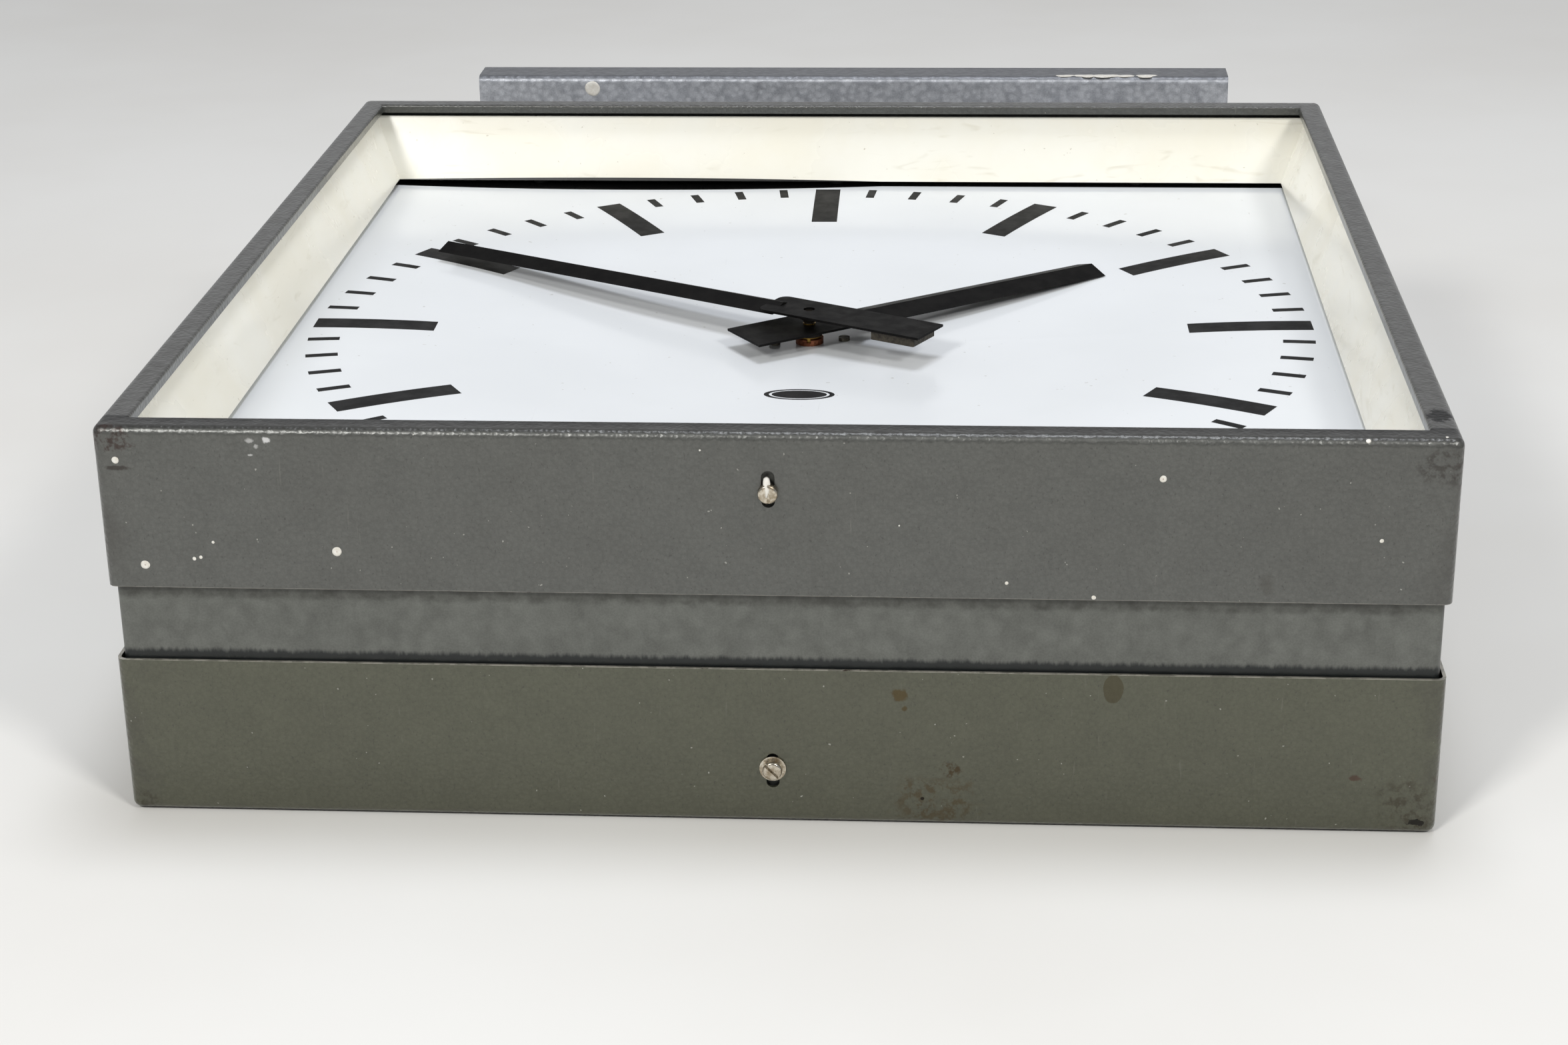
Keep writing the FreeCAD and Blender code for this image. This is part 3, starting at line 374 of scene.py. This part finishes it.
WIRE_BANDS = 1400.0                     # scale of the wave that draws the coil's wire


def wound_copper():
    paint = Finish("coil_winding", roughness=0.35, metallic=0.6)
    turns = paint.add("ShaderNodeTexWave", {"Vector": paint.place, "Scale": WIRE_BANDS, "Distortion": 0.4},
                      bands_direction="X").outputs[1]
    base = paint.blend(turns, colour("5b2a16"), colour("b2683a"))
    paint.bump(turns, 0.0002, 0.6)
    return paint.finish(base)


STAIN_REACH = 0.01                      # how far a stain reaches into the sheet


def near_stain(x, z, x_radius, z_radius, shade, strength, ragged=0.3, soft=0.5, patchy=False):
    """A mark on a cover's near side: place, size, colour, strength and the kind of edge."""
    return (x, NEAR_Y, z), (x_radius, STAIN_REACH, z_radius), shade, strength, ragged, soft, patchy


REAR_STAINS = [near_stain(0.0585, 0.0085, 0.021, 0.013, "46320c", 0.50, 0.4, 0.6, True),
               near_stain(0.0645, 0.0225, 0.005, 0.004, "3c2808", 0.75, 0.5, 0.4, True),
               near_stain(0.0545, 0.0105, 0.0009, 0.0008, "150d06", 0.95, 0.1, 0.4),
               near_stain(0.1225, 0.0559, 0.0037, 0.0058, "443d26", 0.62, 0.06, 0.05),
               near_stain(0.0463, 0.0524, 0.0032, 0.0028, "4c3a10", 0.70, 0.35, 0.4),
               near_stain(0.0480, 0.0468, 0.0012, 0.0012, "4c3a10", 0.65, 0.3, 0.5),
               near_stain(0.2300, 0.0080, 0.014, 0.016, "33281c", 0.50, 0.4, 0.6, True),
               near_stain(0.2325, 0.0045, 0.0032, 0.0016, "120e0b", 0.90, 0.45, 0.3),
               near_stain(0.2100, 0.0220, 0.0026, 0.0018, "4a2a22", 0.60, 0.4, 0.5),
               near_stain(-0.2350, 0.0030, 0.009, 0.006, "2e2418", 0.45, 0.4, 0.6, True)]
FRONT_STAINS = [near_stain(-0.1833, 0.1474, 0.0016, 0.0014, "d8d8d6", 0.55, 0.45, 0.6),
                near_stain(-0.1772, 0.1476, 0.0015, 0.0014, "e6e6e6", 0.75, 0.45, 0.6),
                near_stain(-0.1809, 0.1452, 0.0010, 0.0010, "d8d8d6", 0.50, 0.45, 0.6),
                near_stain(-0.1833, 0.1419, 0.0012, 0.0005, "d8d8d6", 0.60, 0.3, 0.5),
                near_stain(-0.2350, 0.1480, 0.010, 0.006, "35201a", 0.70, 0.5, 0.4, True),
                near_stain(-0.2320, 0.1365, 0.0055, 0.0011, "2b211c", 0.65, 0.25, 0.5),
                near_stain(0.2330, 0.1425, 0.011, 0.009, "2e2620", 0.50, 0.4, 0.6, True),
                near_stain(0.1750, 0.0967, 0.0040, 0.0060, "3f3a34", 0.30, 0.4, 0.8),
                ((0.2343, CENTRE_Y - 0.2160, DEPTH), (0.0050, 0.0075, 0.004),
                 "090908", 0.95, 0.5, 0.3, False)]

FINISHES = {
    "front_cover_hammertone": cover_paint("front_cover_hammertone", colour("5f605c"), colour("424340"),
                                          colour("9b988f"), colour("3b2018"), FRONT_STAINS, 0.02),
    "rear_cover_hammertone": cover_paint("rear_cover_hammertone", colour("575848"), colour("3e3f31"),
                                         colour("c4c0b4"), colour("43281a"), REAR_STAINS, 0.05),
    "grey_hammertone": case_paint(),
    "bracket_hammertone": bracket_paint(),
    "cream_enamel": cream_paint(),
    "white_dial": dial_paint(),
    "plain_steel": plain_finish("plain_steel", "8d8b86", "66635d", 0.012, 0.42, 1.0),
    "black_rubber": plain_finish("black_rubber", "1c1c1b", "121212", 0.006, 0.75, dent=0.00005),
    "zinc_fasteners": plain_finish("zinc_fasteners", "7c776b", "4a463d", 0.004, 0.42, 0.9),
    "nickel_screws": plain_finish("nickel_screws", "d9d2c4", "9a8d78", 0.0022, 0.24, 1.0, 0.2, 0.00004),
    "black_hands": plain_finish("black_hands", "100f0e", "0a0909", 0.008, 0.5, specular=0.08),
    "weight_steel": plain_finish("weight_steel", "453f34", "28241d", 0.0016, 0.6, 0.4, 0.15, 0.00008),
    "dark_brass": plain_finish("dark_brass", "2c261e", "16120e", 0.004, 0.5, 0.6),
    "brass": plain_finish("brass", "c9a55a", "9b7a3c", 0.008, 0.32, 1.0),
    "bright_steel": plain_finish("bright_steel", "77746c", "4c4a45", 0.008, 0.38, 1.0),
    "core_iron": plain_finish("core_iron", "6d675f", "4a453f", 0.006, 0.5, 0.9),
    "coil_winding": wound_copper(),
    "copper_nut": plain_finish("copper_nut", "a0654a", "6b3c28", 0.002, 0.36, 0.9, 0.2, 0.00004),
    "bakelite": plain_finish("bakelite", "3a2015", "26140d", 0.01, 0.3, 0.0, coat=0.3),
}


def dress_nodes():
    """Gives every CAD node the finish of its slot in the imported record."""
    for part in frame["record"]["subparts"]:
        node = frame["nodes"][part["node"]]
        node.data.materials.clear()
        node.data.materials.append(FINISHES[part["material_slot"]])


# ---- meshes ------------------------------------------------------------------------------------
def add_piece(name, points, faces, paint, body, smooth=True):
    """Links a mesh that rides on a body of the frame."""
    mesh = bpy.data.meshes.new(name)
    mesh.from_pydata([tuple(p) for p in points], [], faces)
    mesh.validate()
    mesh.update()
    for face in mesh.polygons:
        face.use_smooth = smooth
    mesh.materials.append(paint)
    piece = bpy.data.objects.new(name, mesh)
    bpy.context.scene.collection.objects.link(piece)
    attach(piece, body)


def merged(parts):
    """Several (points, faces) pairs as one."""
    points, faces = [], []
    for some_points, some_faces in parts:
        start = len(points)
        points += some_points
        faces += [tuple(i + start for i in face) for face in some_faces]
    return points, faces


def film(rows, columns, top, low):
    """A closed thin film over a rows by columns grid of points, from their top and low copies."""
    count = rows * columns
    faces = []
    for i in range(rows - 1):
        for j in range(columns - 1):
            a, d = i * columns + j, (i + 1) * columns + j
            b, c = a + 1, d + 1
            faces.append((a, b, c, d))
            faces.append((d + count, c + count, b + count, a + count))
    rim = list(range(columns)) + [i * columns + columns - 1 for i in range(1, rows)]
    rim += [(rows - 1) * columns + j for j in range(columns - 2, -1, -1)]
    rim += [i * columns for i in range(rows - 2, 0, -1)]
    for a, b in zip(rim, rim[1:] + rim[:1]):
        faces.append((b, a, a + count, b + count))
    return top + low, faces


# ---- print on the dials ------------------------------------------------------------------------
PRINT_TURN = -0.9                       # degrees; the dial was fixed a little anticlockwise
PRINT_OUT, PRINT_IN, HOUR_WIDTH = 0.2145, 0.162, 0.0122
MINUTE_IN, MINUTE_WIDTH = 0.2010, 0.0040
INK, INK_DEPTH = 0.00007, 0.0004        # print above the dial's face, and into it
BADGE_BELOW, BADGE_X, BADGE_Y = 0.071, 0.0145, 0.0072   # the plain oval below the dial's centre
RING_HOLE, OVAL_HOLE = 0.86, 0.02       # inner size of the badge's ring and of its oval, as shares
OVAL_X, OVAL_Y = BADGE_X * 0.78, BADGE_Y * 0.72


def dial_tree(node):
    mesh = frame["nodes"][node].data
    return BVHTree.FromPolygons([v.co[:] for v in mesh.vertices], [p.vertices[:] for p in mesh.polygons])


def on_dial(tree, side, x, y, lift):
    """A point on the dial's face. side is 1 for the front dial and -1 for the rear one."""
    start = Vector((side * x, CENTRE_Y + y, MID_Z + side * (FACE + 0.01)))
    hit = tree.ray_cast(start, Vector((0, 0, -side)))[0]
    return (hit.x, hit.y, hit.z + side * lift)


def printed(tree, side, outline, rows, columns):
    """A film of ink that follows the dial. outline(u, v) gives a place for u and v from 0 to 1."""
    grid = [outline(i / (rows - 1), j / (columns - 1)) for i in range(rows) for j in range(columns)]
    top = [on_dial(tree, side, x, y, INK) for x, y in grid]
    low = [on_dial(tree, side, x, y, -INK_DEPTH) for x, y in grid]
    return film(rows, columns, top, low)


def bar(angle, inner, outer, width):
    s, c = math.sin(angle), math.cos(angle)

    def place(u, v):
        r, w = inner + (outer - inner) * u, (v - 0.5) * width
        return r * s + w * c, r * c - w * s
    return place


def oval_part(x_radius, y_radius, from_angle, to_angle, hole):
    def place(u, v):
        turn = from_angle + (to_angle - from_angle) * u
        size = hole + (1 - hole) * v
        return x_radius * size * math.cos(turn), -BADGE_BELOW + y_radius * size * math.sin(turn)
    return place


def dial_print(side, name, ink):
    tree = dial_tree(name.replace("_print", ""))
    parts = []
    for minute in range(60):
        angle = math.radians(minute * 6 + PRINT_TURN)
        if minute % 5:
            parts.append(printed(tree, side, bar(angle, MINUTE_IN, PRINT_OUT, MINUTE_WIDTH), 4, 3))
        else:
            parts.append(printed(tree, side, bar(angle, PRINT_IN, PRINT_OUT, HOUR_WIDTH), 14, 4))
    # a plain oval ring with a plain oval inside, each in four quarters
    for quarter in range(4):
        start = math.pi / 2 * quarter
        end = start + math.pi / 2
        parts.append(printed(tree, side, oval_part(BADGE_X, BADGE_Y, start, end, RING_HOLE), 12, 2))
        parts.append(printed(tree, side, oval_part(OVAL_X, OVAL_Y, start, end, OVAL_HOLE), 12, 5))
    add_piece(name, *merged(parts), ink, "clock_case", smooth=False)


# ---- stray drops of paint ----------------------------------------------------------------------
DROP_ROOT = 0.0003                      # how far a drop goes into the surface, so that it stays closed
WAVES = (2, 3, 5)                       # bulges round the edge of a drop
SUNK_SHARE = 0.7                        # share of a drop's radius that has sunk


def drop(centre, out, up, radius, height, dip=0.0, tall=1.0, rough=0.10, rings=5, spokes=22):
    """A closed bead of dried paint on a surface whose outward direction is out."""
    out, up = Vector(out), Vector(up)
    across = up.cross(out)
    phases = [(random.uniform(0, 2 * math.pi), random.uniform(0.3, 1.0) * rough / n) for n in WAVES]
    centre = Vector(centre)
    points = [centre + out * height * (1 - dip)]
    for ring in range(1, rings + 1):
        share = ring / rings
        rise = height * math.sqrt(max(0.0, 1 - share ** 4))
        if share < SUNK_SHARE:
            rise = min(rise, height * (1 - dip * (1 - share / SUNK_SHARE)))
        for spoke in range(spokes):
            turn = 2 * math.pi * spoke / spokes
            bulge = sum(a * math.cos(n * turn + p) for (p, a), n in zip(phases, WAVES))
            far = radius * share * (1 + bulge)
            sideways = across * far * math.cos(turn)
            points.append(centre + sideways + up * far * tall * math.sin(turn) + out * rise)
    last = 1 + (rings - 1) * spokes
    points += [points[last + s] - out * DROP_ROOT for s in range(spokes)]
    points.append(centre - out * DROP_ROOT)
    faces = [(0, 1 + s, 1 + (s + 1) % spokes) for s in range(spokes)]
    for ring in range(rings):
        a, b = 1 + ring * spokes, 1 + (ring + 1) * spokes
        faces += [(a + s, b + s, b + (s + 1) % spokes, a + (s + 1) % spokes) for s in range(spokes)]
    foot = 1 + rings * spokes
    faces += [(foot + (s + 1) % spokes, foot + s, len(points) - 1) for s in range(spokes)]
    return points, faces


NEAR_OUT, UPWARDS = (0, -1, 0), (0, 0, 1)
# place across, height, radius, thickness and how far the middle has sunk
FRONT_DROPS = ((-0.2321, 0.1394, 0.00130, 0.00022, 0.1), (-0.2252, 0.0992, 0.00165, 0.00018, 0.5),
               (-0.2070, 0.1018, 0.00070, 0.00012, 0.0), (-0.2046, 0.1024, 0.00065, 0.00012, 0.0),
               (-0.1996, 0.1083, 0.00055, 0.00010, 0.0), (-0.1549, 0.1053, 0.00175, 0.00022, 0.5),
               (0.1374, 0.1367, 0.00125, 0.00020, 0.3), (0.2136, 0.1145, 0.00075, 0.00015, 0.0),
               (0.0839, 0.0966, 0.00065, 0.00012, 0.0), (0.1146, 0.0915, 0.00080, 0.00015, 0.0),
               (-0.0236, 0.1455, 0.00035, 0.00008, 0.0), (0.0460, 0.1180, 0.00030, 0.00008, 0.0))

# the run of paint over the screw: its crown, least thickness and depth below the surface, then how
# far it is off the axis, how far it sways and how fast
RUN_CROWN, RUN_LEAST, RUN_ROOT = 0.00030, 0.0001, 0.0009
RUN_ASIDE, RUN_SWAY, RUN_BENDS = 0.0003, 0.0002, 900


def screw_splash(paint):
    """A run of paint from the slot of the front cover screw up over its head."""
    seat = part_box("front_cover_screw")[0].y
    screw_z = DEPTH - SCREW_BELOW_FACE
    # height above the screw's axis, half width, and distance in from the front of its head
    stations = ((-0.0008, 0.0003, 0.0000), (0.0004, 0.0005, 0.0001), (0.0018, 0.0008, 0.0001),
                (0.0028, 0.0011, 0.0004), (0.0036, 0.0013, 0.0012), (0.0044, 0.0012, 0.0020),
                (0.0052, 0.0010, 0.0024), (0.0057, 0.0003, 0.0027))
    columns = 5
    top, low = [], []
    for z, half_width, back in stations:
        for j in range(columns):
            v = 2 * j / (columns - 1) - 1
            crown = RUN_CROWN * (1 - v * v)
            x = half_width * v - RUN_ASIDE + RUN_SWAY * math.sin(RUN_BENDS * z)
            top.append((x, seat + back - crown - RUN_LEAST, screw_z + z))
            low.append((x, seat + back + RUN_ROOT, screw_z + z))
    points, faces = film(len(stations), columns, top, low)
    add_piece("front_screw_paint_run", points, faces, paint, "clock_case")


# the aged centre of a sunken drop: least dip that shows one, its share of the radius, its height,
# and how far it is sunk
CENTRE_FROM_DIP, CENTRE_SHARE, CENTRE_HEIGHT, CENTRE_SUNK = 0.3, 0.42, 0.00004, 0.00002
# smears along the top of the bracket: how many, where the first is, and how far apart they are
SMEARS, SMEAR_FROM, SMEAR_STEP = 5, 0.118, 0.011


def splashes():
    """All the paint drops. Their order is the order of the random draws."""
    white = plain_finish("white_drops", "e9e7e0", "d8d3c8", 0.002, 0.5)
    pink = plain_finish("aged_drops", "c8b3a6", "9d948c", 0.001, 0.6)
    whole = [drop((x, NEAR_Y, z), NEAR_OUT, UPWARDS, radius, height, dip)
             for x, z, radius, height, dip in FRONT_DROPS]
    add_piece("front_cover_paint_drops", *merged(whole), white, "front_cover_shell")
    centres = []
    for x, z, radius, height, dip in FRONT_DROPS:
        if dip >= CENTRE_FROM_DIP:
            bottom = NEAR_Y - height * (1 - dip) + CENTRE_SUNK
            centres.append(drop((x, bottom, z), NEAR_OUT, UPWARDS, radius * CENTRE_SHARE, CENTRE_HEIGHT))
    add_piece("front_cover_drop_centres", *merged(centres), pink, "front_cover_shell")
    bend_out = (0, -0.5, 0.86)
    face_drops = [drop((0.2338, CENTRE_Y - 0.2367, DEPTH), UPWARDS, (0, 1, 0), 0.0006, 0.0001),
                  drop((0.2069, CENTRE_Y - 0.2390, DEPTH - 0.0008), bend_out, (1, 0, 0), 0.0009, 0.0002)]
    add_piece("front_flange_paint_drops", *merged(face_drops), white, "front_cover_shell")
    web = BRACKET_LOW.y
    blot = drop((-0.1431, web, 0.1241), NEAR_OUT, UPWARDS, 0.0042, 0.0003, 0.75)
    smears = [drop((SMEAR_FROM + SMEAR_STEP * k, web + 0.0035, BRACKET_HIGH.z), UPWARDS, (1, 0, 0),
                   0.0022 + 0.0006 * (k % 3), 0.00015, tall=2.1, rough=0.5) for k in range(SMEARS)]
    add_piece("bracket_paint_drops", *merged([blot] + smears), white, "clock_case")
    screw_splash(white)


# ---- floor, light and camera -------------------------------------------------------------------
CAMERA_AT = (0.074265, -1.248824, 0.498398)
CAMERA_YAW, CAMERA_PITCH, CAMERA_ROLL = -4.232, 22.163, -0.89
CAMERA_LENS, SENSOR = 65.69, 36.0
FLOOR_SIZE, FLOOR_DROP = 30.0, 0.0005
# the white backdrop behind the object: from and to, as the y of a direction, and the light there
BACKDROP = (0.15, 0.75, 0.31, 0.56)
LAMP_DISTANCE = 2.6
# name, direction from the object, side length, watts, tint
LAMPS = (("lamp_left", (-0.36, -0.72, 0.62), 0.42, 25.0, (1.0, 0.99, 0.97)),
         ("lamp_right", (0.46, -0.62, 0.64), 0.42, 20.5, (1.0, 0.99, 0.97)),
         ("lamp_over", (0.05, 0.10, 0.99), 0.8, 27.0, (0.90, 0.93, 1.0)))


def make_floor():
    paint = Finish("pale_floor", roughness=0.7)
    cloud = paint.step(paint.noise(0.4, 4.0, 0.55), 0.3, 0.7)
    base = paint.blend(cloud, colour("eae9e5"), colour("e4e2dd"))
    paint.finish(base)
    half = FLOOR_SIZE / 2
    mesh = bpy.data.meshes.new("floor")
    corners = [(-half, -half, 0), (half, -half, 0), (half, half, 0), (-half, half, 0)]
    mesh.from_pydata(corners, [], [(0, 1, 2, 3)])
    mesh.materials.append(paint.made)
    floor = bpy.data.objects.new("floor", mesh)
    floor.location.z = -FLOOR_DROP
    bpy.context.scene.collection.objects.link(floor)


def make_lights():
    world = bpy.data.worlds.new("studio")
    world.use_nodes = True
    background = world.node_tree.nodes["Background"]
    background.inputs["Color"].default_value = colour("f4f5f7")
    nodes, links = world.node_tree.nodes, world.node_tree.links
    where = nodes.new("ShaderNodeSeparateXYZ")
    links.new(nodes.new("ShaderNodeTexCoord").outputs["Generated"], where.inputs[0])
    wall = nodes.new("ShaderNodeMapRange")
    wall.interpolation_type = "SMOOTHSTEP"
    for socket, value in zip(("From Min", "From Max", "To Min", "To Max"), BACKDROP):
        wall.inputs[socket].default_value = value
    links.new(where.outputs["Y"], wall.inputs["Value"])
    links.new(wall.outputs[0], background.inputs["Strength"])
    bpy.context.scene.world = world
    for name, direction, side, watts, tint in LAMPS:
        lamp = bpy.data.lights.new(name, "AREA")
        lamp.shape = "SQUARE"
        lamp.size = side
        lamp.energy = watts
        lamp.color = tint
        holder = bpy.data.objects.new(name, lamp)
        way = Vector(direction).normalized()
        holder.location = Vector((0, CENTRE_Y, MID_Z)) + way * LAMP_DISTANCE
        holder.rotation_euler = (-way).to_track_quat("-Z", "Y").to_euler()
        bpy.context.scene.collection.objects.link(holder)


def make_camera():
    yaw, pitch, roll = (math.radians(a) for a in (CAMERA_YAW, CAMERA_PITCH, CAMERA_ROLL))
    forward = Vector((math.sin(yaw) * math.cos(pitch), math.cos(yaw) * math.cos(pitch), -math.sin(pitch)))
    level = Vector((math.cos(yaw), -math.sin(yaw), 0))
    down = forward.cross(level)
    right = level * math.cos(roll) - down * math.sin(roll)
    low = level * math.sin(roll) + down * math.cos(roll)
    data = bpy.data.cameras.new("camera")
    data.lens, data.sensor_width = CAMERA_LENS, SENSOR
    camera = bpy.data.objects.new("camera", data)
    turn = Matrix((right, -low, -forward)).transposed().to_4x4()
    camera.matrix_world = Matrix.Translation(CAMERA_AT) @ turn
    bpy.context.scene.collection.objects.link(camera)
    bpy.context.scene.camera = camera


random.seed(RANDOM_SEED)
bpy.context.scene.view_settings.view_transform = "Standard"
dress_nodes()
INK_PAINT = plain_finish("dial_ink", "141415", "0e0e0f", 0.01, 0.5, specular=0.15)
dial_print(1, "front_dial_print", INK_PAINT)
dial_print(-1, "rear_dial_print", INK_PAINT)
splashes()
make_floor()
make_lights()
make_camera()
